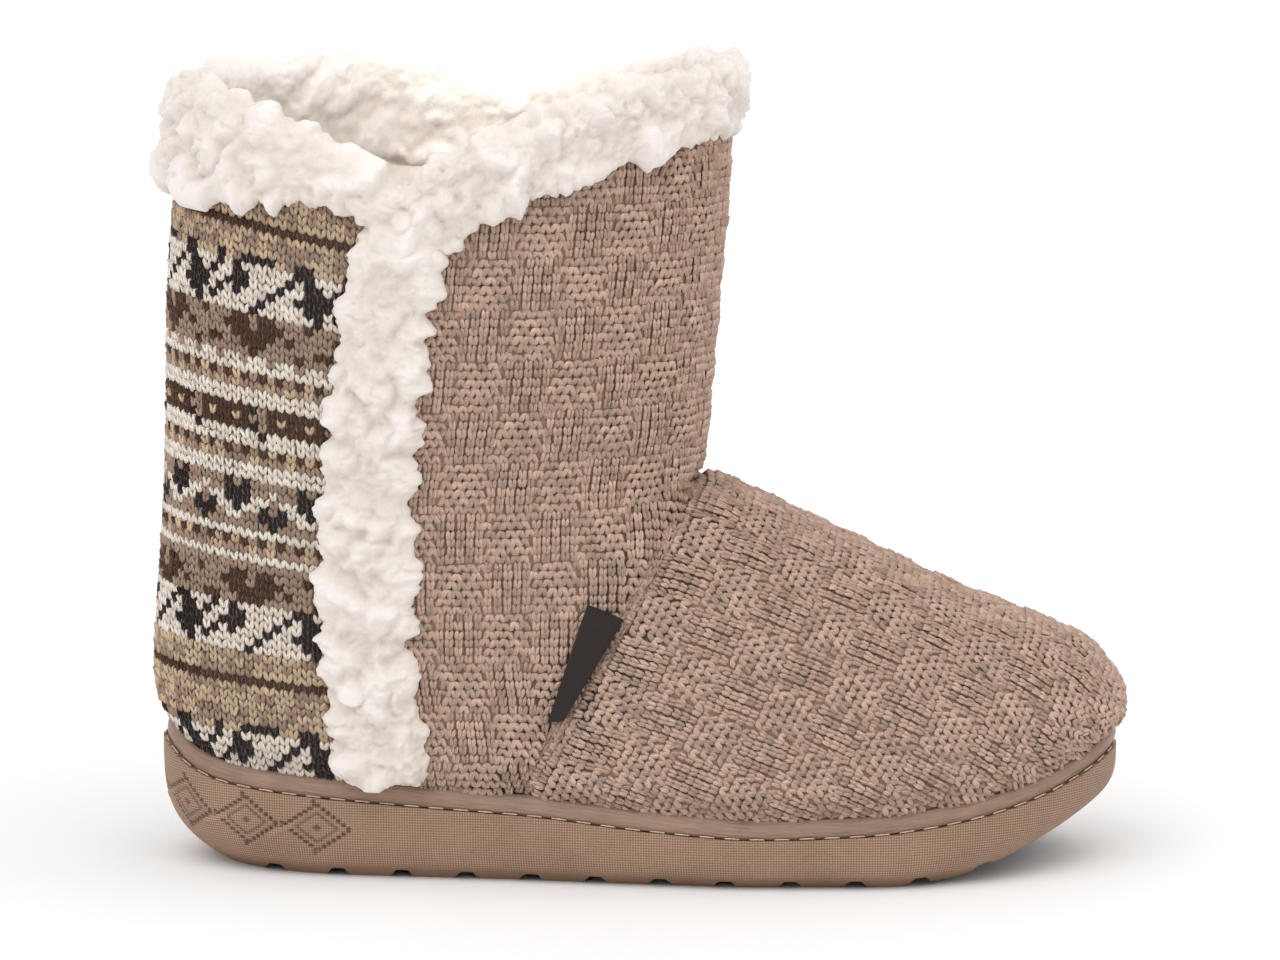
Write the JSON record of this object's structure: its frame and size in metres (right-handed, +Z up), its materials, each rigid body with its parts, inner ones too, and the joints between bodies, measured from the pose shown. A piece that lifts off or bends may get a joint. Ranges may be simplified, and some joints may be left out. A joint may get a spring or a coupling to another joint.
{
  "type": "bootie slipper",
  "caption": "Ankle-high knitted slipper boot with a sherpa cuff and side trim, a patterned back panel, a blank woven label and a moulded sole with a barred tread.",
  "frame": {"origin": "on the floor, in the middle of the heel's first tread bar, on the shoe's heel-to-toe axis", "axes": "+X from heel to toe, +Y to the inner (medial) side, +Z up"},
  "size_m": [0.2671, 0.1115, 0.2249],
  "materials": {
    "sole_rubber": "moulded taupe rubber with a fine woven texture",
    "welt_rubber": "smooth satin taupe rubber",
    "foam_bed": "pile over foam",
    "knit": "taupe basketweave knit, patterned at the back",
    "sherpa": "curly off-white pile",
    "woven_label": "dark brown woven label, bare"
  },
  "bodies": {
    "root": {"outsole": "sole_rubber", "welt": "welt_rubber", "insole": "foam_bed", "upper": "knit", "collar_cuff": "sherpa", "side_trim": "sherpa", "label_tab": "woven_label"}
  },
  "joints": []
}
